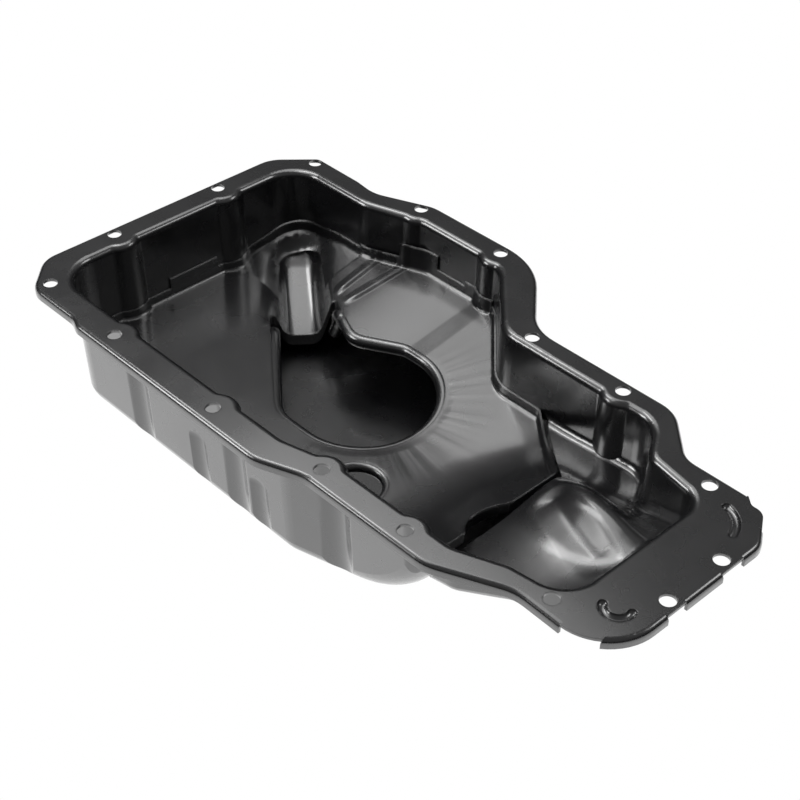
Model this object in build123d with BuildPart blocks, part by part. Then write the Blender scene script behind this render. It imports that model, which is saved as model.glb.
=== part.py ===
"""Engine oil pan of drawn sheet steel with a welded oil baffle and a drain plug.

Seen from above, +X runs along the engine towards the narrow end of the flange, +Y across it
and +Z up. The origin lies under the middle of the flange, at the level of the sump's floor.
"""

import math
import os

from build123d import *

os.makedirs("parts", exist_ok=True)

# Overall size
flange_length = 418.0
flange_width = 223.0
pan_depth = 81.0
sheet = 1.5

# Flange, its bolt holes and its turned-down lip
bolt_hole_d = 8.0
fold_radius = 2.5
lip_height = 5.0
lip_bend_radius = 1.2
lip_gap_setback = 0.8

# Walls and sump
wall_draft = 2.0
floor_radius = 11.0
sump_arc_start = 227.0
sump_arc_end = 307.0
sump_arc_end_depth = 25.0

# Grooves in the walls that clear the bolt heads and their socket
flute_radius = 11.0
flute_intrusion = 3.5
flute_edge_radius = 4.0
groove_intrusion = 3.0
groove_top_depth = 40.0
# The forms for floors reach this far past the walls before the walls trim them
form_overlap = 0.1

# Shallow narrow end
narrow_floor_radius = 5.0

gasket_z = pan_depth
x_left = -flange_length / 2
x_right = flange_length / 2
y_front = -flange_width / 2
y_back = flange_width / 2

# Lines that the walls and the flange follow
back_left_y = y_back - 12.5
narrow_back_y = y_back - 46.0
end_back_y = y_back - 70.5
narrow_front_y = y_front + 10.0
end_front_y = y_front + 25.5

flange_corners = [
    (x_left, y_front + 23.5, 18),
    (x_left + 21, y_front + 3, 18),
    (x_left + 59, y_front + 3, 12),
    (x_left + 67, y_front, 12),
    (x_left + 215, y_front, 25),
    (x_left + 241, narrow_front_y, 25),
    (x_right - 95, narrow_front_y, 28),
    (x_right - 56, end_front_y + 2, 25),
    (x_right, end_front_y, 29),
    (x_right, end_back_y - 23, 14),
    (x_right - 12.5, end_back_y - 4.2, 8),
    (x_right - 19.5, end_back_y - 4.2, 3),
    (x_right - 24.5, end_back_y, 3),
    (x_right - 62, end_back_y, 15),
    (x_right - 88, narrow_back_y, 22),
    (x_left + 235, narrow_back_y, 30),
    (x_left + 193, y_back, 50),
    (x_left + 110, y_back, 22),
    (x_left + 74, back_left_y - 2.5, 25),
    (x_left + 58, back_left_y - 0.5, 25),
    (x_left + 21, back_left_y, 6),
    (x_left, back_left_y - 23, 20),
]

# Inner faces of the walls at the gasket face
wall_left_x = x_left + 18.0
wall_front_y = y_front + 21.0
wall_narrow_front_y = narrow_front_y + 18.5
wall_back_y = y_back - 17.0
wall_back_left_y = back_left_y - 16.5
wall_narrow_back_y = narrow_back_y - 15.0
wall_right_x = x_right - 38.0
end_wall_slope = 0.4

sump_corners = [
    (wall_left_x, wall_front_y, 24),
    (x_left + 213, wall_front_y, 25),
    (x_left + 241, wall_narrow_front_y, 25),
    (x_right - 95, wall_narrow_front_y, 15),
    (x_right - 87, wall_narrow_front_y + 8 * end_wall_slope, 3),
    (x_right - 87, wall_narrow_front_y + 76, 5),
    (x_left + 261, wall_narrow_back_y, 12),
    (x_left + 223.5, wall_narrow_back_y, 22),
    (x_left + 179.5, wall_back_y, 30),
    (x_left + 116, wall_back_y, 25),
    (x_left + 79, wall_back_left_y, 25),
    (wall_left_x, wall_back_left_y, 20),
]

shallow_corners = [
    (x_left + 230, wall_narrow_front_y, 0),
    (x_right - 95, wall_narrow_front_y, 15),
    (x_right - 69, wall_narrow_front_y + 26 * end_wall_slope, 15),
    (wall_right_x, wall_narrow_front_y + 14.5, 18),
    (wall_right_x, end_back_y - 19.5, 14),
    (x_right - 75, end_back_y - 12.5, 12),
    (x_right - 90, wall_narrow_back_y, 20),
    (x_left + 230, wall_narrow_back_y, 0),
]

# Floor of the narrow end: at five places along x, the y and depth of the front wall's foot,
# the lobe, the ridge between, the pocket and the back wall's foot
lobe_y = -50.0
foot_front_y = y_front + 5
foot_back_y = y_back - 30
floor_places = [
    (
        x_left + 249,
        [(foot_front_y, 37), (lobe_y - 10, 37), (-25, 37), (8, 37), (25, 37), (45, 37), (foot_back_y, 37)],
    ),
    (
        x_right - 124,
        [(foot_front_y, 36), (lobe_y - 10, 36), (-25, 34), (8, 30), (25, 36), (45, 37), (foot_back_y, 37)],
    ),
    (
        x_right - 91,
        [(foot_front_y, 27), (lobe_y - 8, 27), (-27, 19), (-3, 10), (18, 30), (38, 35), (foot_back_y, 35)],
    ),
    (
        x_right - 64,
        [(foot_front_y, 22), (lobe_y - 5, 21), (-30, 14), (-10, 6), (9, 20), (28, 29), (foot_back_y, 29)],
    ),
    (
        wall_right_x + 3,
        [(foot_front_y, 10), (lobe_y, 10), (-35, 9), (-12, 8), (5, 11), (20, 14), (foot_back_y, 14)],
    ),
]

# Beads pressed into the two free corners of the flange, each as start, middle and end
bead_radius = 2.5
bead_depth = 1.7
bead_paths = [
    (
        (x_right - 25, end_front_y + 24.5),
        (x_right - 20, end_front_y + 21),
        (x_right - 12.5, end_front_y + 29.5),
    ),
    (
        (x_right - 27, end_back_y - 14),
        (x_right - 19, end_back_y - 18),
        (x_right - 13.5, end_back_y - 27),
    ),
]

# Stretches without the lip, each with its middle, width and height
lip_gap_places = [
    (x_right - 10, end_back_y - 5, 30, 20),
    (x_right - 2, -2.0, 20, 15),
    (x_right - 2, -40.7, 20, 12.5),
    (x_right - 20, end_front_y + 2, 18, 16),
]

# Baffle: depths below the gasket face of its tray, its fan and its corners
baffle_sheet = 1.0
baffle_gap = 0.15
tray_depth = 48.5
fan_start_y = 2.0
fan_end_y = y_back - 16.0
fan_end_depth = 31.0
corner_start_y = 31.0
corner_end_depth = 34.5
baffle_split_x = x_left + 80.0
ramp_start_x = x_left + 259.0
ramp_end_depth = 31.0
baffle_right_x = x_left + 303.3
rim_height = 6.0
# Taller tabs of the rim: middle x, y, width along x, length along y and height
rim_tabs = [
    (x_left + 17, -1.0, 16, 35, 12.5),
    (x_left + 119, y_back - 20, 26.5, 30, 15.0),
    (x_left + 167, y_back - 20, 24, 30, 9.0),
]
rim_fold_radius = 2.0
trough_start = (x_left + 38, 64.5, gasket_z - tray_depth + 3.5)
trough_end = (x_left + 85, 27.5, gasket_z - tray_depth - 14.0)
trough_floor_width = 20.0
trough_height = 22.0
trough_side_run = 0.4
trough_radius = 8.0
opening_rim = 7.0
opening_roll_radius = 0.8
opening_middle = (x_left + 164, 0)
opening_corners = [
    (x_left + 147, -43, 30),
    (x_left + 214, -43, 42),
    (x_left + 214, 43, 42),
    (x_left + 159, 43, 15),
    (x_left + 129, 30, 15),
    (x_left + 109, 38, 5),
    (x_left + 97, 44, 4),
    (x_left + 72, 14, 4),
]
return_hole_place = (x_left + 220.5, wall_front_y + 39)
return_hole_r = 17.0
notch_place = (x_left + 312, wall_narrow_front_y + 45)
notch_r = 18.0

# Drain on the far wall, hidden from the photograph's side
drain_x = x_left + 144.0
drain_z = 26.0
drain_d = 14.0
boss_d = 24.0
boss_length = 5.0
washer_d = 20.0
washer_thickness = 1.5
plug_hex = 19.0
plug_flange_d = 21.0
plug_head_length = 7.0

# Bolt holes, in the pairs that share a line
corner_bolt_x = x_left + 24.0
left_bolt_x = x_left + 6.7
back_bolt_y = y_back - 8.0
narrow_back_bolt_y = narrow_back_y - 7.5
end_bolt_x = x_right - 41.7
right_bolt_x = x_right - 6.8
narrow_front_bolt_y = narrow_front_y + 9.4
front_bolt_y = y_front + 10.5
mid_bolt_x = x_left + 171.7
sump_bolt_x = x_right - 116.5
bolt_places = {
    "corner_front": (corner_bolt_x, y_front + 12.8),
    "corner_back": (corner_bolt_x, back_left_y - 6.1),
    "left_front": (left_bolt_x, -43.9),
    "left_back": (left_bolt_x, 31.0),
    "back_left": (x_left + 106.9, back_bolt_y),
    "back_right": (mid_bolt_x, back_bolt_y),
    "narrow_back_left": (x_left + 239.0, narrow_back_bolt_y),
    "narrow_back_right": (sump_bolt_x, narrow_back_bolt_y),
    "end_back": (end_bolt_x, end_back_y - 7.9),
    "end_front": (end_bolt_x, end_front_y + 10.6),
    "right_back": (right_bolt_x, -2.6),
    "right_front": (right_bolt_x, -39.6),
    "narrow_front_right": (sump_bolt_x, narrow_front_bolt_y),
    "narrow_front_left": (x_left + 243.7, narrow_front_bolt_y),
    "front_right": (mid_bolt_x, front_bolt_y),
    "front_left": (x_left + 87.7, front_bolt_y),
}
# Grooves for the bolt heads: the bolt, then the way from the wall to the inside of the pan
flute_setback = sheet + flute_radius - flute_intrusion
flutes = [
    (bolt_places["front_left"][0], wall_front_y - flute_setback, 0, 1),
    (bolt_places["front_right"][0], wall_front_y - flute_setback, 0, 1),
    (bolt_places["narrow_front_left"][0], wall_narrow_front_y - flute_setback, 0, 1),
    (bolt_places["narrow_front_right"][0], wall_narrow_front_y - flute_setback, 0, 1),
    (bolt_places["narrow_back_right"][0], wall_narrow_back_y + flute_setback, 0, -1),
    (bolt_places["back_right"][0], wall_back_y + flute_setback, 0, -1),
    (bolt_places["back_left"][0], wall_back_y + flute_setback, 0, -1),
    (wall_left_x - flute_setback, bolt_places["left_back"][1], 1, 0),
    (wall_left_x - flute_setback, bolt_places["left_front"][1], 1, 0),
]
groove_setback = sheet + flute_radius - groove_intrusion
grooves = [
    (x_left + 139.5, wall_front_y - groove_setback, 0, 1),
    (x_left + 190.5, wall_front_y - groove_setback, 0, 1),
]


def plan_face(corners):
    """Closed outline seen from above, each corner given as x, y and its radius."""
    with BuildSketch() as plan:
        with BuildLine():
            FilletPolyline(
                *[(x, y) for x, y, radius in corners],
                radius=[radius for x, y, radius in corners],
                close=True,
            )
        make_face()
    return plan.sketch


flange_plan = plan_face(flange_corners)
sump_plan = plan_face(sump_corners)
shallow_plan = plan_face(shallow_corners)


def sump_form(skin):
    """Space inside the deep sump, grown outwards by the skin."""
    with BuildPart() as form:
        with BuildSketch(Plane.XY.offset(gasket_z)):
            add(sump_plan)
            offset(amount=skin)
        extrude(amount=-pan_depth - 5, taper=wall_draft)
        with BuildSketch(Plane.XZ):
            with BuildLine():
                floor_line = Line(
                    (x_left - 20, sheet + form_overlap),
                    (x_left + sump_arc_start, sheet + form_overlap),
                )
                ramp = TangentArc(
                    floor_line @ 1,
                    (x_left + sump_arc_end, gasket_z - sump_arc_end_depth),
                    tangent=(1, 0),
                )
                rise = Line(ramp @ 1, ramp @ 1 + (ramp % 1) * pan_depth)
                Line(rise @ 1, (x_left - 20, (rise @ 1).Y))
                Line((x_left - 20, (rise @ 1).Y), floor_line @ 0)
            make_face()
            offset(amount=skin, kind=Kind.INTERSECTION)
        extrude(amount=flange_width, both=True, mode=Mode.INTERSECT)
        low_faces = form.faces().filter_by(lambda face: face.normal_at().Z < -0.3)
        low_edges = form.edges().filter_by(
            lambda edge: sum(edge in face.edges() for face in low_faces) == 1
            and edge.center().Z < gasket_z - 1
        )
        fillet(low_edges, radius=floor_radius + skin)
    return form.part


def floor_section(x, places, skin):
    """Section across the narrow end: a smooth floor line through its places, grown by the skin."""
    points = [Vector(y, gasket_z - depth) for y, depth in places]
    ways = [points[1] - points[0]]
    ways += [after - before for before, after in zip(points, points[2:])]
    ways += [points[-1] - points[-2]]
    grown = [point + Vector(way.Y, -way.X).normalized() * skin for point, way in zip(points, ways)]
    with BuildSketch(Plane.YZ.offset(x)) as section:
        with BuildLine():
            floor_line = Spline(*grown)
            front, back = floor_line @ 0, floor_line @ 1
            Polyline(back, (back.X, gasket_z + 10), (front.X, gasket_z + 10), front)
        make_face()
    return section.sketch


def narrow_form(skin):
    """Space over the narrow end, its floor lofted through the pocket, the ridge and the lobe."""
    with BuildPart() as form:
        loft([floor_section(x, places, skin) for x, places in floor_places])
        with BuildPart(mode=Mode.INTERSECT):
            with BuildSketch(Plane.XY.offset(gasket_z)):
                add(shallow_plan)
                offset(amount=skin)
            extrude(amount=-pan_depth / 2, taper=wall_draft)
        low_faces = form.faces().filter_by(lambda face: face.normal_at().Z < -0.3)
        low_edges = form.edges().filter_by(
            lambda edge: sum(edge in face.edges() for face in low_faces) == 1
            and edge.center().Z < gasket_z - 1
            and edge.center().X > floor_places[0][0] + 1
        )
        fillet(low_edges, radius=narrow_floor_radius + skin)
    return form.part


def mouth_face(skin, bumps):
    """Outline of the space inside the walls at the gasket face, grown by the skin."""
    with BuildSketch() as mouth:
        add(sump_plan)
        add(shallow_plan)
        offset(amount=skin)
        with Locations(*[(x, y) for x, y, inward_x, inward_y in bumps]):
            Circle(flute_radius + sheet - skin, mode=Mode.SUBTRACT)
        for x, y, inward_x, inward_y in bumps:
            corners = mouth.vertices().filter_by(
                lambda vertex: abs(
                    math.hypot(vertex.X - x, vertex.Y - y) - (flute_radius + sheet - skin)
                ) < 0.01
            )
            fillet(corners, radius=flute_edge_radius + skin)
    return mouth.sketch


def groove_form(x, y, inward_x, inward_y, radius):
    """Bar with a round top that leans with the wall and presses one arched groove."""
    lean = math.tan(math.radians(wall_draft))
    arch = math.sqrt((flute_radius + sheet) ** 2 - groove_setback**2)
    depth = groove_top_depth + arch
    top = (x + depth * lean * inward_x, y + depth * lean * inward_y, gasket_z - depth)
    with BuildPart() as groove:
        with BuildSketch(Plane.XY.offset(gasket_z - depth)):
            with Locations(top[:2]):
                Circle(radius)
        extrude(amount=pan_depth, dir=(lean * inward_x, lean * inward_y, -1))
        with Locations(top):
            Sphere(radius)
    return groove.part


def pan_form(skin):
    """All the space inside the pan, grown outwards by the skin."""
    with BuildPart() as form:
        add(sump_form(skin + form_overlap))
        add(narrow_form(skin + form_overlap))
        with BuildPart(mode=Mode.INTERSECT):
            with BuildSketch(Plane.XY.offset(gasket_z)):
                add(mouth_face(skin, flutes))
            extrude(amount=-pan_depth - 5, taper=wall_draft)
        for x, y, inward_x, inward_y in grooves:
            add(
                groove_form(x, y, inward_x, inward_y, flute_radius + sheet - skin),
                mode=Mode.SUBTRACT,
            )
    return form.part


def flange_form(inset):
    """Block under the flange face, its top edge rounded where the lip turns down."""
    with BuildPart() as form:
        with BuildSketch(Plane.XY.offset(gasket_z - inset)):
            add(flange_plan)
            offset(amount=-inset)
        extrude(amount=-lip_height)
        top_face = form.faces().sort_by(Axis.Z)[-1]
        fillet(top_face.edges(), radius=lip_bend_radius + sheet - inset)
    return form.part


def bead_form(radius):
    """Bent bars that press the beads, cut off at the gasket face."""
    with BuildPart() as beads:
        for start, middle, end in bead_paths:
            level = (0, 0, gasket_z + bead_radius - bead_depth)
            with BuildLine() as path:
                ThreePointArc(*[Vector(x, y, 0) + level for x, y in (start, middle, end)])
            with BuildSketch(Plane(origin=path.line @ 0, z_dir=path.line % 0)):
                Circle(radius)
            sweep(path=path.line)
            with Locations(path.line @ 0, path.line @ 1):
                Sphere(radius)
        with BuildSketch(Plane.XY.offset(gasket_z)):
            Rectangle(2 * flange_length, 2 * flange_width)
        extrude(amount=-20, mode=Mode.INTERSECT)
    return beads.part


def mouth_edges(part, level):
    """Edges round the mouth in the flat face of the flange at one level."""
    flange_face = part.faces().filter_by(Axis.Z).filter_by(
        lambda face: abs(face.center().Z - level) < 0.01
    ).sort_by(SortBy.AREA)[-1]
    return flange_face.inner_wires().sort_by(SortBy.LENGTH)[-1].edges()


with BuildPart() as pan_body:
    add(flange_form(0))
    add(flange_form(sheet), mode=Mode.SUBTRACT)
    # Stretches of the flange that end in a plain edge without the lip
    with BuildSketch(Plane.XY.offset(gasket_z)) as lip_gaps:
        for x, y, width, height in lip_gap_places:
            with Locations((x, y)):
                Rectangle(width, height)
    extrude(amount=-2 * lip_height, mode=Mode.SUBTRACT)
    with BuildSketch(Plane.XY.offset(gasket_z)):
        add(flange_plan)
        offset(amount=-lip_gap_setback)
        add(lip_gaps.sketch, mode=Mode.INTERSECT)
    extrude(amount=-sheet)
    # Sump and narrow end, with the fold round the mouth
    add(pan_form(sheet))
    add(pan_form(0), mode=Mode.SUBTRACT)
    fillet(mouth_edges(pan_body, gasket_z), radius=fold_radius + sheet)
    fillet(mouth_edges(pan_body, gasket_z - sheet), radius=fold_radius)
    # Beads that stiffen the flange's two free corners
    add(bead_form(bead_radius + sheet))
    add(bead_form(bead_radius), mode=Mode.SUBTRACT)
    with BuildSketch(Plane.XY.offset(gasket_z)):
        with Locations(*bolt_places.values()):
            Circle(bolt_hole_d / 2)
    extrude(amount=-sheet, mode=Mode.SUBTRACT)

# Drain boss welded to the far wall, with the washer and the plug
drain_wall_y = wall_back_y + sheet - (gasket_z - drain_z) * math.tan(math.radians(wall_draft))
drain_plane = Plane(
    origin=(drain_x, drain_wall_y, drain_z),
    x_dir=(1, 0, 0),
    z_dir=(0, math.cos(math.radians(wall_draft)), -math.sin(math.radians(wall_draft))),
)

with BuildPart(drain_plane) as drain_boss:
    Cylinder(boss_d / 2, boss_length, align=(Align.CENTER, Align.CENTER, Align.MIN))
    chamfer(drain_boss.faces().sort_by(Axis.Y)[-1].edges(), length=1)
    Cylinder(drain_d / 2, 3 * boss_length, mode=Mode.SUBTRACT)

with BuildPart() as drain_washer:
    with BuildSketch(drain_plane.offset(boss_length)):
        Circle(washer_d / 2)
        Circle(drain_d / 2, mode=Mode.SUBTRACT)
    extrude(amount=washer_thickness)

with BuildPart() as drain_plug:
    head_plane = drain_plane.offset(boss_length + washer_thickness)
    with BuildSketch(head_plane):
        RegularPolygon(plug_hex / 2, 6, major_radius=False)
    extrude(amount=plug_head_length)
    chamfer(drain_plug.faces().sort_by(Axis.Y)[-1].edges(), length=0.8)
    with BuildSketch(head_plane):
        Circle(plug_flange_d / 2)
    extrude(amount=1.5)
    with BuildSketch(head_plane):
        Circle(drain_d / 2 - 0.1)
    extrude(amount=-(boss_length + washer_thickness + 4))

with BuildPart(drain_plane) as drain_hole:
    Cylinder(drain_d / 2, 6 * sheet)

with BuildPart() as pan_with_drain:
    add(pan_body.part)
    add(drain_hole.part, mode=Mode.SUBTRACT)

# Baffle above the sump
fan_rise = (tray_depth - fan_end_depth) / (fan_end_y - fan_start_y)
corner_rise = (tray_depth - corner_end_depth) / (back_left_y - 14 - corner_start_y)
ramp_rise = (tray_depth - ramp_end_depth) / (baffle_right_x - ramp_start_x)


def slope_block(plane, start, rise, length, start_depth, grow):
    """Block below a floor that rises along its plane from the start, lowered by the growth."""
    with BuildPart() as block:
        with BuildSketch(plane):
            with BuildLine():
                Polyline(
                    (start - 5, gasket_z - start_depth - 5 * rise),
                    (start + length, gasket_z - start_depth + length * rise),
                    (start + length, -20),
                    (start - 5, -20),
                    close=True,
                )
            make_face()
            offset(amount=-grow, kind=Kind.INTERSECTION)
        extrude(amount=flange_length, both=True)
    return block.part


# The baffle follows these grooves, and its straight front edge clears the rest
baffle_flutes = [flutes[5], flutes[7], flutes[8]]
baffle_front_y = wall_front_y + flute_intrusion + 0.4
baffle_narrow_y = wall_narrow_front_y + flute_intrusion + 0.4
baffle_corners = [
    (wall_left_x, baffle_front_y, 24),
    (x_left + 219, baffle_front_y, 12),
    (x_left + 235, baffle_narrow_y, 12),
    (baffle_right_x, baffle_narrow_y, 6),
    (baffle_right_x, 12, 6),
    (x_left + 256, wall_narrow_back_y, 6),
    (x_left + 223.5, wall_narrow_back_y, 22),
    (x_left + 179.5, wall_back_y, 30),
    (x_left + 124, wall_back_y, 25),
    (x_left + 84, wall_back_left_y, 25),
    (wall_left_x, wall_back_left_y, 20),
]


def baffle_plan(grow):
    """Outline of the space above the baffle at the gasket face, grown by the thickness."""
    skin = grow - baffle_gap - baffle_sheet
    with BuildSketch() as plan:
        add(plan_face(baffle_corners))
        offset(amount=skin)
        places = [(x, y) for x, y, inward_x, inward_y in baffle_flutes]
        for place, radius in [(place, flute_radius + sheet - skin) for place in places] + [
            (notch_place, notch_r - grow)
        ]:
            with Locations(place):
                Circle(radius, mode=Mode.SUBTRACT)
            corners = plan.vertices().filter_by(
                lambda vertex: abs(
                    math.hypot(vertex.X - place[0], vertex.Y - place[1]) - radius
                ) < 0.01
            )
            fillet(corners, radius=flute_edge_radius + skin)
    return plan.sketch


def trough_form(grow):
    """Channel above the trough's floor and sides, grown by the given thickness."""
    way = Vector(*trough_end) - Vector(*trough_start)
    across = Vector(-way.Y, way.X, 0).normalized()
    start = Plane(origin=trough_start, x_dir=across, z_dir=way.normalized())
    half_floor = trough_floor_width / 2
    half_top = half_floor + trough_height * trough_side_run
    with BuildPart() as channel:
        with BuildSketch(start):
            with BuildLine():
                FilletPolyline(
                    (-half_floor, 0),
                    (half_floor, 0),
                    (half_top, trough_height),
                    (-half_top, trough_height),
                    radius=[trough_radius, trough_radius, 0, 0],
                    close=True,
                )
            make_face()
            offset(amount=grow, kind=Kind.INTERSECTION)
        extrude(amount=way.length)
        head = channel.faces().sort_by(Axis((0, 0, 0), way))[0]
        fillet(head.edges().sort_by(Axis.Z)[:-1], radius=trough_radius + grow)
    return channel.part


def baffle_form(grow, folded):
    """Space above the baffle, grown by the given thickness."""
    with BuildPart() as form:
        with BuildSketch(Plane.XY.offset(gasket_z)):
            add(baffle_plan(grow))
        extrude(amount=-tray_depth - grow, taper=wall_draft)
        # Ground under the fan and the ramp
        with BuildPart(mode=Mode.SUBTRACT):
            add(slope_block(Plane.YZ, fan_start_y, fan_rise, 130, tray_depth, grow))
            with Locations((baffle_split_x - grow, 0, 0)):
                Box(
                    flange_length,
                    2 * flange_width,
                    4 * pan_depth,
                    align=(Align.MIN, Align.CENTER, Align.CENTER),
                    mode=Mode.INTERSECT,
                )
        with BuildPart(mode=Mode.SUBTRACT):
            add(slope_block(Plane.XZ, ramp_start_x, ramp_rise, 90, tray_depth, grow))
        # Fold where the rim turns up along the edge
        low_faces = form.faces().filter_by(lambda face: face.normal_at().Z < -0.3)
        rim_edges = form.edges().filter_by(
            lambda edge: sum(edge in face.edges() for face in low_faces) == 1
            and edge.center().Z < gasket_z - 1
            and edge.bounding_box().size.X + abs(edge.center().X - baffle_split_x + grow) > 0.01
        )
        if folded:
            fillet(rim_edges, radius=rim_fold_radius + grow)
        with BuildPart(mode=Mode.SUBTRACT):
            add(slope_block(Plane.YZ, corner_start_y, corner_rise, 90, tray_depth, grow))
            with Locations((baffle_split_x - grow, 0, 0)):
                Box(
                    flange_length,
                    2 * flange_width,
                    4 * pan_depth,
                    align=(Align.MAX, Align.CENTER, Align.CENTER),
                    mode=Mode.INTERSECT,
                )
        # Trough that falls from the far left corner into the main opening
        add(trough_form(grow))
    return form.part


def opening_face(grow):
    """Outlines of the main opening and the return hole, grown by the sheet of their rims."""
    with BuildSketch() as face:
        add(plan_face(opening_corners))
        with Locations(return_hole_place):
            Circle(return_hole_r)
        offset(amount=grow)
    return face.sketch


def rolled_edges(part):
    """Upper edges of the turned-down rims, where the baffle's top meets an opening's wall."""
    edges = ShapeList()
    for wall in part.faces():
        box = wall.bounding_box()
        if box.size.Z > 4 * opening_rim or abs(wall.normal_at().Z) > 0.01:
            continue
        place = wall.center()
        for middle, reach in ((opening_middle, 80), (return_hole_place, return_hole_r + 0.5)):
            inward = Vector(middle[0] - place.X, middle[1] - place.Y)
            if inward.length < reach and wall.normal_at().dot(inward) > 0:
                edges += wall.edges().filter_by(
                    lambda edge: edge.center().Z > box.min.Z + opening_rim - 0.5
                    and edge.bounding_box().size.Z < 0.9 * edge.length
                )
    return edges


baffle_top = baffle_form(0, True)
baffle_bottom = baffle_form(baffle_sheet, False)
rim_limit = baffle_form(2 * baffle_sheet, False)

with BuildPart() as baffle_plate:
    add(baffle_bottom)
    add(baffle_top, mode=Mode.SUBTRACT)
    # The rim ends at its height above the floor of the baffle, with taller tabs for welding
    with BuildPart(mode=Mode.SUBTRACT):
        with Locations((0, 0, rim_height + 2 * baffle_sheet)):
            add(rim_limit)
        for x, y, width, length, height in rim_tabs:
            with Locations((x, y, 0)):
                Box(
                    width,
                    length,
                    gasket_z,
                    align=(Align.CENTER, Align.CENTER, Align.MIN),
                    mode=Mode.SUBTRACT,
                )
        for x, y, width, length, height in rim_tabs:
            with BuildPart():
                with Locations((0, 0, height + 2 * baffle_sheet)):
                    add(rim_limit)
                with Locations((x, y, 0)):
                    Box(
                        width,
                        length,
                        2 * gasket_z,
                        align=(Align.CENTER, Align.CENTER, Align.MIN),
                        mode=Mode.INTERSECT,
                    )
    # Openings with the rim turned down round them
    with BuildPart() as opening_rims:
        with BuildSketch():
            add(opening_face(baffle_sheet))
        extrude(amount=gasket_z)
        with Locations((0, 0, -opening_rim)):
            add(baffle_top, mode=Mode.INTERSECT)
        add(baffle_top, mode=Mode.SUBTRACT)
    add(opening_rims.part)
    with BuildSketch():
        add(opening_face(0))
    extrude(amount=gasket_z, mode=Mode.SUBTRACT)
    fillet(rolled_edges(baffle_plate), radius=opening_roll_radius)


for name, piece in {
    "pan_body": pan_with_drain.part,
    "baffle_plate": baffle_plate.part,
    "drain_boss": drain_boss.part,
    "drain_washer": drain_washer.part,
    "drain_plug": drain_plug.part,
}.items():
    piece.label = name
    export_step(piece, f"parts/{name}.step")
    print(name, piece.is_valid, round(piece.volume), len(piece.solids()))
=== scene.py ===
"""Engine oil pan of drawn sheet steel, black dip coated, on a plain studio floor."""

import math

import bpy
from mathutils import Matrix, Vector


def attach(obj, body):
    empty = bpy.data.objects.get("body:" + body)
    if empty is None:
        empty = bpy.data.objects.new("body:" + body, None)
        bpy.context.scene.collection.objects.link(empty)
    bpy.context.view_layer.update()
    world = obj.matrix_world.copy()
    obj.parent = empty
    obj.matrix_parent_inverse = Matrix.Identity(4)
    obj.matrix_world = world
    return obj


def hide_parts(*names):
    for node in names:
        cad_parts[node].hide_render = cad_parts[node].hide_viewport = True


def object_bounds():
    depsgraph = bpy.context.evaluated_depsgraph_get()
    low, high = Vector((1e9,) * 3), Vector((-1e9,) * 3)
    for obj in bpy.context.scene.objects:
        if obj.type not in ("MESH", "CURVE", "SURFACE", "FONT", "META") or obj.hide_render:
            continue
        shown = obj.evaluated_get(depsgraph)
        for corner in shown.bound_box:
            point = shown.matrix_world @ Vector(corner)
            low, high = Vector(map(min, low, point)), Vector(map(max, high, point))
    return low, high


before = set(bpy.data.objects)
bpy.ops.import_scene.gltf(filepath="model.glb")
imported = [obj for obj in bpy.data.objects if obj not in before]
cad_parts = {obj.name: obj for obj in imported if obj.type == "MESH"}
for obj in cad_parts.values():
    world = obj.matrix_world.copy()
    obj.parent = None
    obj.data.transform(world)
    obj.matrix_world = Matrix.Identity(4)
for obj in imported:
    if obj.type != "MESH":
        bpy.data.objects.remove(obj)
cad_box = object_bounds()


# Camera
# The photograph looks down at the pan's front corner from about 38 degrees, with a long lens.
# Its place, turn and lens were worked out from the flange's edges and the bolt holes.
scene = bpy.context.scene
bpy.ops.object.select_all(action="DESELECT")
bpy.ops.object.camera_add(
    location=(0.48386, -0.46068, 0.581),
    rotation=(math.radians(51.675), 0, math.radians(46.965)),
)
camera = bpy.context.object
camera.name = "camera"
camera.data.sensor_width = 36
camera.data.lens = 72.76
camera.data.clip_start = 0.01
scene.camera = camera
scene.view_settings.view_transform = "Standard"


# Floor and studio light
# A white sheet under the pan, lit by a wide softbox overhead with a bright strip in it, a lower
# one at the left and one behind. The sheet shows plain white to the eye and in the coat's gloss.
def linear(hex_colour):
    """Turn an sRGB hex colour into linear red, green, blue and alpha."""
    channels = []
    for start in (1, 3, 5):
        value = int(hex_colour[start : start + 2], 16) / 255
        if value <= 0.04045:
            channels.append(value / 12.92)
        else:
            channels.append(((value + 0.055) / 1.055) ** 2.4)
    return (*channels, 1)


def add_node(tree, kind, settings=(), links=()):
    """Add a node, set its properties and sockets, and link sockets that feed it."""
    node = tree.nodes.new(kind)
    for key, value in dict(settings).items():
        if isinstance(key, str) and hasattr(node, key):
            setattr(node, key, value)
        else:
            node.inputs[key].default_value = value
    for key, source in dict(links).items():
        tree.links.new(source, node.inputs[key])
    return node


floor_size = 8
floor_z = -0.0004
bpy.ops.mesh.primitive_plane_add(size=floor_size, location=(0, 0, floor_z))
floor = bpy.context.object
floor.name = "studio_floor"
floor_paper = bpy.data.materials.new("matt_white_paper")
floor_paper.use_nodes = True
tree = floor_paper.node_tree
tree.nodes.clear()
path = add_node(tree, "ShaderNodeLightPath")
paper = add_node(tree, "ShaderNodeBsdfDiffuse", {"Color": linear("#F2F2F2")})
glow = add_node(tree, "ShaderNodeEmission", {"Color": linear("#FFFFFF"), "Strength": 1.0})
seen = add_node(
    tree,
    "ShaderNodeMath",
    {"operation": "MAXIMUM"},
    {0: path.outputs["Is Camera Ray"], 1: path.outputs["Is Glossy Ray"]},
)
choose = add_node(tree, "ShaderNodeMixShader", {}, {0: seen.outputs[0]})
tree.links.new(paper.outputs[0], choose.inputs[1])
tree.links.new(glow.outputs[0], choose.inputs[2])
add_node(tree, "ShaderNodeOutputMaterial", {}, {0: choose.outputs[0]})
floor.data.materials.append(floor_paper)

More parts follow.
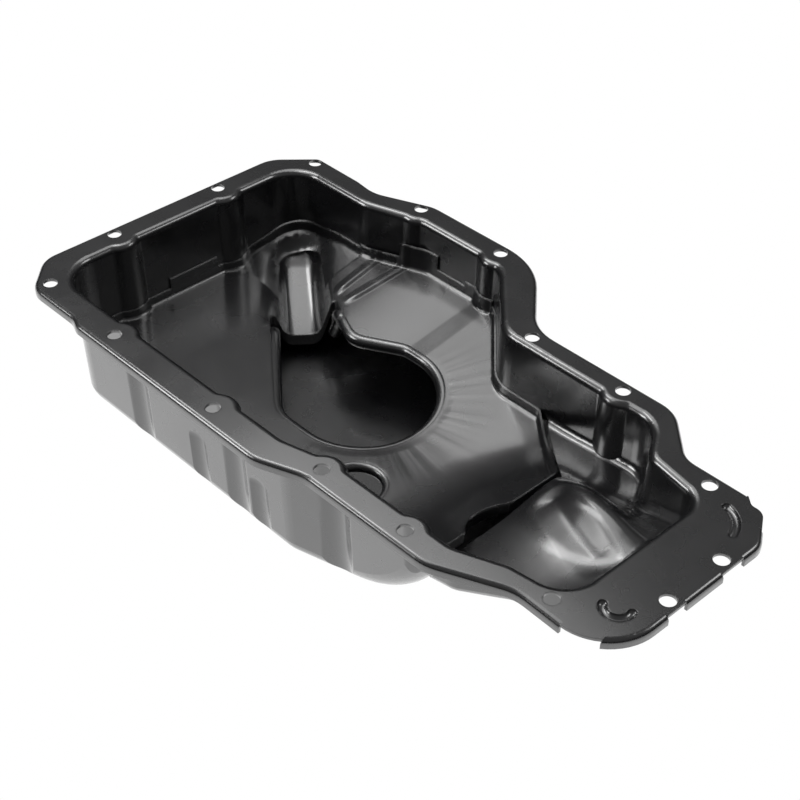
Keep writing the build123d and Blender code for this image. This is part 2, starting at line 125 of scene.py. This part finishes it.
world = bpy.data.worlds.new("studio")
scene.world = world
world.use_nodes = True
tree = world.node_tree
tree.nodes.clear()
path = add_node(tree, "ShaderNodeLightPath")
white = add_node(tree, "ShaderNodeBackground", {"Color": (1, 1, 1, 1), "Strength": 1.0})
sky = add_node(tree, "ShaderNodeTexCoord")
height = add_node(tree, "ShaderNodeSeparateXYZ", {}, {0: sky.outputs["Generated"]})
# The room is dark up to 15 degrees over the horizon and dim grey from 38 degrees up
low_sine, high_sine = 0.26, 0.62
dim = add_node(
    tree,
    "ShaderNodeMapRange",
    {"From Min": low_sine, "From Max": high_sine, "To Min": 0.02, "To Max": 0.16},
    {"Value": height.outputs["Z"]},
)
fill = add_node(
    tree, "ShaderNodeBackground", {"Color": (1, 1, 1, 1)}, {"Strength": dim.outputs[0]}
)
choose = add_node(
    tree,
    "ShaderNodeMixShader",
    {},
    {0: path.outputs["Is Camera Ray"], 1: fill.outputs[0], 2: white.outputs[0]},
)
add_node(tree, "ShaderNodeOutputWorld", {}, {0: choose.outputs[0]})


def add_softbox(name, place, aim, width, depth, watts):
    """Hang one rectangular softbox at its place, turned to its aim."""
    bpy.ops.object.light_add(type="AREA", location=place)
    box = bpy.context.object
    box.name = name
    box.data.shape = "RECTANGLE"
    box.data.size = width
    box.data.size_y = depth
    box.data.energy = watts
    turn = (Vector(aim) - Vector(place)).to_track_quat("-Z", "Y")
    box.rotation_euler = turn.to_euler()


add_softbox("softbox_over", (-0.43, 0.06, 0.80), (-0.43, 0.06, 0), 0.56, 0.84, 2.2)
add_softbox("strip_over", (-0.54, 0.04, 0.785), (-0.54, 0.04, 0), 0.46, 0.14, 1.0)
add_softbox("softbox_left", (-0.80, -0.80, 0.72), (0, 0.05, 0.08), 0.45, 0.35, 3.2)
add_softbox("softbox_back", (0.42, 0.75, 0.95), (-0.1, 0, 0.08), 0.5, 0.3, 1.6)


# Pan body
# One blank of 1.5 mm deep drawing steel, drawn, trimmed and pierced in a press, with the
# flange lip turned down. Cathodic dip coat: thin black epoxy film, semi gloss, with a very
# slight orange peel and the soft marks of the drawing under it.
def coat_material(name, hex_colour, roughness, peel_mm, peel_height, edge_mm):
    """Black epoxy dip coat over drawn steel: deep and glossy, and round over sharp edges.

    The peel and the edge are in millimetres, the height of the peel in metres.
    """
    material = bpy.data.materials.new(name)
    material.use_nodes = True
    tree = material.node_tree
    shader = tree.nodes["Principled BSDF"]
    place = add_node(tree, "ShaderNodeTexCoord")
    # The film's thickness changes over some 25 mm and shifts the gloss a little
    cloud_mm = 25
    cloud = add_node(
        tree,
        "ShaderNodeTexNoise",
        {"Scale": 1000 / cloud_mm, "Detail": 3.0, "Roughness": 0.5},
        {"Vector": place.outputs["Object"]},
    )
    gloss = add_node(
        tree,
        "ShaderNodeMapRange",
        {"From Min": 0.3, "From Max": 0.7, "To Min": roughness - 0.04, "To Max": roughness + 0.05},
        {"Value": cloud.outputs["Fac"]},
    )
    shade = add_node(
        tree,
        "ShaderNodeMix",
        {"data_type": "RGBA"},
        {0: cloud.outputs["Fac"]},
    )
    shade.inputs[6].default_value = linear(hex_colour)
    shade.inputs[7].default_value = linear("#1E1E20")
    # Orange peel, drawn coarser than the real 1 mm so that it shows
    peel = add_node(
        tree,
        "ShaderNodeTexNoise",
        {"Scale": 1000 / peel_mm, "Detail": 2.0, "Roughness": 0.5},
        {"Vector": place.outputs["Object"]},
    )
    soft_edge = add_node(tree, "ShaderNodeBevel", {"samples": 6, "Radius": edge_mm / 1000})
    bump = add_node(
        tree,
        "ShaderNodeBump",
        {"Strength": 0.25, "Distance": peel_height},
        {"Height": peel.outputs["Fac"], "Normal": soft_edge.outputs["Normal"]},
    )
    bump.name = "peel_bump"
    tree.links.new(shade.outputs[2], shader.inputs["Base Color"])
    tree.links.new(gloss.outputs[0], shader.inputs["Roughness"])
    tree.links.new(bump.outputs[0], shader.inputs["Normal"])
    # Above epoxy's 1.5 to 1.6, because the photographed coat mirrors the softbox strongly
    shader.inputs["IOR"].default_value = 1.9
    shader.inputs["Coat Weight"].default_value = 1.0
    shader.inputs["Coat IOR"].default_value = 1.7
    shader.inputs["Coat Roughness"].default_value = 0.14
    return material


def copy_of_node(node_name, piece_name):
    """Copy a CAD node with its mesh and its exact normals."""
    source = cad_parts[node_name]
    piece = source.copy()
    piece.data = source.data.copy()
    piece.name = piece_name
    bpy.context.collection.objects.link(piece)
    piece.data.materials.clear()
    return piece


def press_creases(material, creases):
    """Press creases into a coated sheet.

    Each is given in millimetres: its start and end seen from above, the widths of its left and
    right flanks, its height, and how far before the start it begins.
    """
    tree = material.node_tree
    fade_mm = 12
    place = add_node(tree, "ShaderNodeTexCoord")
    last_normal = tree.nodes["peel_bump"]
    for start, end, left, right, height, before in creases:
        way = (Vector(end) - Vector(start)) / 1000
        along, across = way.normalized(), Vector((way.y, -way.x)).normalized()
        away = add_node(
            tree,
            "ShaderNodeVectorMath",
            {"operation": "SUBTRACT", 1: (start[0] / 1000, start[1] / 1000, 0)},
            {0: place.outputs["Object"]},
        )
        beside, ahead = (
            add_node(
                tree,
                "ShaderNodeVectorMath",
                {"operation": "DOT_PRODUCT", 1: (direction.x, direction.y, 0)},
                {0: away.outputs[0]},
            )
            for direction in (across, along)
        )
        flanks = [
            add_node(
                tree,
                "ShaderNodeMapRange",
                {"interpolation_type": "SMOOTHSTEP", "From Min": width / 1000, "From Max": 0},
                {"Value": beside.outputs[1]},
            )
            for width in (-left, right)
        ]
        flanks += [
            add_node(
                tree,
                "ShaderNodeMapRange",
                {"interpolation_type": "SMOOTHSTEP", "From Min": low, "From Max": high},
                {"Value": ahead.outputs[1]},
            )
            for low, high in (
                (-before / 1000, (fade_mm - before) / 1000),
                (way.length + fade_mm / 1000, way.length),
            )
        ]
        raised = flanks[0]
        for flank in flanks[1:]:
            raised = add_node(
                tree,
                "ShaderNodeMath",
                {"operation": "MULTIPLY"},
                {0: raised.outputs[0], 1: flank.outputs[0]},
            )
        last_normal = add_node(
            tree,
            "ShaderNodeBump",
            {"Strength": 1.0, "Distance": height / 1000},
            {"Height": raised.outputs[0], "Normal": last_normal.outputs["Normal"]},
        )
    normal = tree.nodes["Principled BSDF"].inputs["Normal"]
    tree.links.new(last_normal.outputs["Normal"], normal)


pan_coat = coat_material("black_dip_coat_on_pan", "#161618", 0.27, 1.6, 0.00004, 1.0)
# A shallow valley along the lobe at the narrow end
press_creases(pan_coat, [((104.0, -11.0), (154.0, -31.5), 12.0, 12.0, -3.2, 0.0)])
pan = copy_of_node("pan_body", "pan_shell")
pan.data.materials.append(pan_coat)
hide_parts("pan_body")
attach(pan, "root")

# Along the far and the left edges the lip is no longer than its bend, so the bolt holes
# there show clear to the floor
left_x, front_y = cad_box[0][:2]
top_z = cad_box[1][2]
lip_height = 0.005
short_lip_rise = 0.0022
front_left_corner_y = front_y + 0.023
split_slope = 0.26
for vertex in pan.data.vertices:
    x, y, z = vertex.co
    beyond_split = y > front_left_corner_y + (x - left_x) * split_slope
    on_left_edge = x < left_x + 0.0005
    if abs(z - (top_z - lip_height)) < 0.00001 and (beyond_split or on_left_edge):
        vertex.co.z += short_lip_rise


# Baffle plate
# A second pressing of 1 mm steel that lies over the sump and keeps the oil from being
# thrown up. Its rim turns up and is spot welded to the walls before the whole pan is coated.
# The press leaves creases and fine wrinkles in it, and its openings have rolled edges.
baffle_coat = coat_material("black_dip_coat_on_baffle", "#171719", 0.25, 1.6, 0.00004, 2.5)
# Two ridges beside the trough and one valley up the fan, much wider on its left
press_creases(
    baffle_coat,
    [
        ((-116.6, 44.0), (-118.5, 92.0), 4.5, 4.5, 1.6, 0.0),
        ((-106.0, 43.0), (-99.0, 99.0), 4.5, 4.5, 1.6, 0.0),
        ((-48.0, 44.0), (-46.0, 100.0), 50.0, 13.0, -2.6, 30.0),
    ],
)

# Fine wrinkles that run outwards from the right end of the main opening, about 8 mm apart.
# They begin at its edge, die out some 40 mm further, and are strongest towards +X.
tray_z = 32.5
opening_end = (-0.0375, 0, tray_z / 1000)
wrinkle_spread = 7.0
wrinkle_height = 0.0008
wrinkle_reach = ((0.044, 0.050), (0.088, 0.056))
wrinkle_side = (0.0, 0.5)
tree = baffle_coat.node_tree
place = add_node(tree, "ShaderNodeTexCoord")
away = add_node(
    tree,
    "ShaderNodeVectorMath",
    {"operation": "SUBTRACT", 1: opening_end},
    {0: place.outputs["Object"]},
)
way = add_node(tree, "ShaderNodeVectorMath", {"operation": "NORMALIZE"}, {0: away.outputs[0]})
far = add_node(tree, "ShaderNodeVectorMath", {"operation": "LENGTH"}, {0: away.outputs[0]})
parts = add_node(tree, "ShaderNodeSeparateXYZ", {}, {0: way.outputs[0]})
wrinkle = add_node(
    tree,
    "ShaderNodeTexNoise",
    {"Scale": wrinkle_spread, "Detail": 1.5},
    {"Vector": way.outputs[0]},
)
for source, (low, high) in (
    (far.outputs["Value"], wrinkle_reach[0]),
    (far.outputs["Value"], wrinkle_reach[1]),
    (parts.outputs["X"], wrinkle_side),
):
    mask = add_node(
        tree,
        "ShaderNodeMapRange",
        {"interpolation_type": "SMOOTHSTEP", "From Min": low, "From Max": high},
        {"Value": source},
    )
    wrinkle = add_node(
        tree,
        "ShaderNodeMath",
        {"operation": "MULTIPLY"},
        {0: wrinkle.outputs[0], 1: mask.outputs[0]},
    )
normal = tree.nodes["Principled BSDF"].inputs["Normal"]
folded = normal.links[0].from_socket
wrinkled = add_node(
    tree,
    "ShaderNodeBump",
    {"Strength": 1.0, "Distance": wrinkle_height},
    {"Height": wrinkle.outputs[0], "Normal": folded},
)
tree.links.new(wrinkled.outputs["Normal"], normal)

baffle = copy_of_node("baffle_plate", "baffle_sheet")
baffle.data.materials.append(baffle_coat)
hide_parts("baffle_plate")
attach(baffle, "root")

# The press rounds the folds between the tray, the fan and the ramp, and the trough's shoulders.
# All in millimetres: the floors' levels and slopes and the trough's place are the solid's.
fan_start_y, fan_rise = 2.0, 0.1872
ramp_start_x, ramp_rise = 50.0, 0.395
fan_left_x, fan_fade = -129.0, 30.0
fan_blend, ramp_blend = 5.0, 8.0
trough_head, trough_foot = Vector((-171, 64.5)), Vector((-124, 27.5))
shoulder_inner, shoulder_outer, shoulder_slope = 14.0, 30.0, 0.5
trough_belly, belly_edge = 2.5, 6.0
# Cuts that let the sheet bend: their direction, first and last place and spacing
cuts = [
    ((1, 0, 0), -190, -103, 3),
    ((1, 0, 0), -100, 95, 6),
    ((0, 1, 0), -30, 6, 6),
    ((0, 1, 0), 9, 93, 3),
]


def soft_maximum(low, high, blend):
    """The larger of two heights, with a round fold where they meet."""
    share = min(max(0.5 + 0.5 * (high - low) / blend, 0), 1)
    return low + (high - low) * share + blend * share * (1 - share)


def floors(x, y):
    """Heights of the tray, the fan and the ramp at a place seen from above."""
    fan_z = tray_z + fan_rise * (y - fan_start_y)
    ramp_z = tray_z + ramp_rise * (x - ramp_start_x)
    return tray_z, fan_z, ramp_z


def fold_lift(x, y):
    """How far the round folds lie over the sharp ones."""
    low_z, fan_z, ramp_z = floors(x, y)
    soft = soft_maximum(soft_maximum(low_z, fan_z, fan_blend), ramp_z, ramp_blend)
    fade = min(max((x - fan_left_x) / fan_fade, 0), 1)
    return (soft - max(low_z, fan_z, ramp_z)) * fade * fade * (3 - 2 * fade)


def shoulder_drop(x, y):
    """How far the trough's round shoulders and hollow floor lie under the sharp ones."""
    length = (trough_foot - trough_head).length
    way = (trough_foot - trough_head) / length
    away = Vector((x, y)) - trough_head
    along = min(max(away.dot(way), 0), length)
    distance = (away - way * along).length
    run = shoulder_outer - shoulder_inner
    share = min(max(shoulder_outer - distance, 0), run) / run
    belly = trough_belly * (1 - (2 * along / length - 1) ** 2)
    hollow = min(max((shoulder_inner - distance) / belly_edge, 0), 1)
    return shoulder_slope * run * share**3 * (1 - share / 2) + belly * hollow


def lift(x, y):
    """How far the sheet moves up at a place."""
    return fold_lift(x, y) - shoulder_drop(x, y)


def floor_level(x, y):
    """Height of the bent floor at a place."""
    return max(floors(x, y)) + lift(x, y)


# The exact normals go through the cuts as an attribute, because cutting would lose them
mesh = baffle.data
exact = mesh.attributes.new("exact_normal", "FLOAT_VECTOR", "CORNER")
exact.data.foreach_set("vector", [part for corner in mesh.corner_normals for part in corner.vector])
bpy.ops.object.select_all(action="DESELECT")
baffle.select_set(True)
bpy.context.view_layer.objects.active = baffle
bpy.ops.object.mode_set(mode="EDIT")
for direction, first, last, spacing in cuts:
    for place_mm in range(first, last + 1, spacing):
        bpy.ops.mesh.select_all(action="SELECT")
        bpy.ops.mesh.bisect(
            plane_co=[part * place_mm / 1000 for part in direction], plane_no=direction
        )
bpy.ops.mesh.select_all(action="SELECT")
bpy.ops.mesh.quads_convert_to_tris()
bpy.ops.object.mode_set(mode="OBJECT")

# A corner on a flat floor takes the bent floor's normal, and any other tilts with the lift.
# The slopes are taken over 1 mm.
half_step = 0.5
flat_tolerance = 0.01
floor_normals = [
    Vector((0, 0, 1)),
    Vector((0, -fan_rise, 1)).normalized(),
    Vector((-ramp_rise, 0, 1)).normalized(),
]
corner_normals = [Vector(corner.vector) for corner in mesh.attributes["exact_normal"].data]
bent_normals = []
for loop, normal in zip(mesh.loops, corner_normals):
    x, y = mesh.vertices[loop.vertex_index].co.xy * 1000
    side = 1 if normal.z > 0 else -1
    is_flat = any((normal * side - flat).length < flat_tolerance for flat in floor_normals)
    on_floor = x > fan_left_x and is_flat
    height = floor_level if on_floor else lift
    slope_x = height(x + half_step, y) - height(x - half_step, y)
    slope_y = height(x, y + half_step) - height(x, y - half_step)
    if on_floor:
        bent_normals.append((Vector((-slope_x, -slope_y, 1)) * side).normalized())
    else:
        tilt = Vector((slope_x, slope_y, 0)) * normal.z
        bent_normals.append((normal - tilt).normalized())
for vertex in mesh.vertices:
    x, y = vertex.co.xy * 1000
    vertex.co.z += lift(x, y) / 1000
mesh.attributes.remove(mesh.attributes["exact_normal"])
mesh.normals_split_custom_set(bent_normals)

# Rolled edge of the main opening: the sheet's top turns down round it in a wide curve.
# The outline's corners are given as x, y and radius in millimetres.
opening_corners = [
    (-62, -43, 30),
    (5, -43, 42.5),
    (5, 43, 42.5),
    (-50, 43, 15),
    (-80, 30, 15),
    (-98, 37, 8),
    (-112, 43, 8),
    (-134, 14, 8),
]
roll_radius = 4.0
point_spacing = 2.0
outline = []
for number, (x, y, radius) in enumerate(opening_corners):
    corner = Vector((x, y))
    before = (Vector(opening_corners[number - 1][:2]) - corner).normalized()
    after = Vector(opening_corners[(number + 1) % len(opening_corners)][:2]) - corner
    after = after.normalized()
    half_turn = before.angle(after) / 2
    middle = corner + (before + after).normalized() * radius / math.sin(half_turn)
    first = corner + before * radius / math.tan(half_turn) - middle
    last = corner + after * radius / math.tan(half_turn) - middle
    sweep = first.angle_signed(last)
    steps = max(2, round(abs(sweep) * radius / point_spacing))
    for step in range(steps + 1):
        spoke = first.copy()
        spoke.rotate(Matrix.Rotation(-sweep * step / steps, 2))
        outline.append(middle + spoke)
path = []
for before, after in zip(outline, outline[1:] + outline[:1]):
    steps = max(1, round((after - before).length / point_spacing))
    path += [before.lerp(after, step / steps) for step in range(steps)]
# The bar leaves out the trough's mouth, and its two ends dip into the trough's shoulders
mouth_half_width = 19.0
mouth_right_x, mouth_front_y = -75, 10
dip_run = 10
probe_setback = 1.8
probe_z = 0.075
levels_each_side = 2
axis = (trough_foot - trough_head).normalized()
in_mouth = [
    abs((spot - trough_head).cross(axis)) < mouth_half_width
    and spot.x < mouth_right_x
    and spot.y > mouth_front_y
    for spot in path
]
start = max(number for number, inside in enumerate(in_mouth) if inside) + 1
path = path[start:] + path[:start]
path = path[: len(path) - sum(in_mouth)]
levels = []
for before, spot, ahead in zip(path[:1] + path, path, path[1:] + path[-1:]):
    way = (ahead - before).normalized()
    probe = (spot + Vector((way.y, -way.x)) * probe_setback) / 1000
    touch = baffle.ray_cast((probe.x, probe.y, probe_z), (0, 0, -1))[1]
    levels.append(touch.z)
bar = bpy.data.curves.new("opening_roll", "CURVE")
bar.dimensions = "3D"
bar.bevel_depth = roll_radius / 1000
bar.bevel_resolution = 6
bar.use_fill_caps = True
spline = bar.splines.new("POLY")
last_number = len(path) - 1
spline.points.add(last_number)
for number, (point, spot) in enumerate(zip(spline.points, path)):
    near = levels[max(number - levels_each_side, 0) : number + levels_each_side + 1]
    from_end = min(number, last_number - number) * point_spacing
    dip = roll_radius * max(1 - from_end / dip_run, 0) ** 2
    level = sum(near) / len(near) - (roll_radius + dip) / 1000
    point.co = (spot.x / 1000, spot.y / 1000, level, 1)
opening_roll = bpy.data.objects.new("opening_roll", bar)
bpy.context.collection.objects.link(opening_roll)
bar.materials.append(baffle_coat)
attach(opening_roll, "root")

# Rolled edge of the round return hole
return_hole_x, return_hole_y, return_hole_radius = 11.5, -51.5, 17.0
return_roll_radius = 3.0
bpy.ops.object.select_all(action="DESELECT")
bpy.ops.mesh.primitive_torus_add(
    location=(
        return_hole_x / 1000,
        return_hole_y / 1000,
        (tray_z - return_roll_radius) / 1000,
    ),
    major_radius=return_hole_radius / 1000,
    minor_radius=return_roll_radius / 1000,
    major_segments=64,
    minor_segments=20,
)
return_roll = bpy.context.object
return_roll.name = "return_roll"
bpy.ops.object.transform_apply(location=True, rotation=False, scale=False)
bpy.ops.object.shade_smooth()
return_roll.data.materials.append(baffle_coat)
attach(return_roll, "root")


# Drain boss
# A turned steel collar welded round the drain hole and coated with the pan.
boss_coat = coat_material("black_dip_coat_on_boss", "#161618", 0.32, 1.2, 0.00003, 0.4)
boss = copy_of_node("drain_boss", "drain_collar")
boss.data.materials.append(boss_coat)
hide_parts("drain_boss")
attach(boss, "root")


# Drain washer and plug
# A soft aluminium sealing ring under the flanged hexagon head of a zinc plated steel plug.
def bare_metal(name, hex_colour, roughness, grain_mm):
    """Bare or plated metal, dull and slightly uneven, with grain of the given size."""
    material = bpy.data.materials.new(name)
    material.use_nodes = True
    tree = material.node_tree
    shader = tree.nodes["Principled BSDF"]
    place = add_node(tree, "ShaderNodeTexCoord")
    grain = add_node(
        tree,
        "ShaderNodeTexNoise",
        {"Scale": 1000 / grain_mm, "Detail": 4.0, "Roughness": 0.6},
        {"Vector": place.outputs["Object"]},
    )
    gloss = add_node(
        tree,
        "ShaderNodeMapRange",
        {"To Min": roughness - 0.08, "To Max": roughness + 0.1},
        {"Value": grain.outputs["Fac"]},
    )
    bump = add_node(
        tree,
        "ShaderNodeBump",
        {"Strength": 0.2, "Distance": 0.00002},
        {"Height": grain.outputs["Fac"]},
    )
    tree.links.new(gloss.outputs[0], shader.inputs["Roughness"])
    tree.links.new(bump.outputs[0], shader.inputs["Normal"])
    shader.inputs["Base Color"].default_value = linear(hex_colour)
    shader.inputs["Metallic"].default_value = 1
    return material


washer = copy_of_node("drain_washer", "drain_ring")
washer.data.materials.append(bare_metal("turned_aluminium", "#D0D2D4", 0.38, 1.0))
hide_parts("drain_washer")
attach(washer, "root")

plug = copy_of_node("drain_plug", "drain_screw")
plug.data.materials.append(bare_metal("zinc_plated_steel", "#B9B6A6", 0.34, 0.8))
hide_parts("drain_plug")
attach(plug, "root")
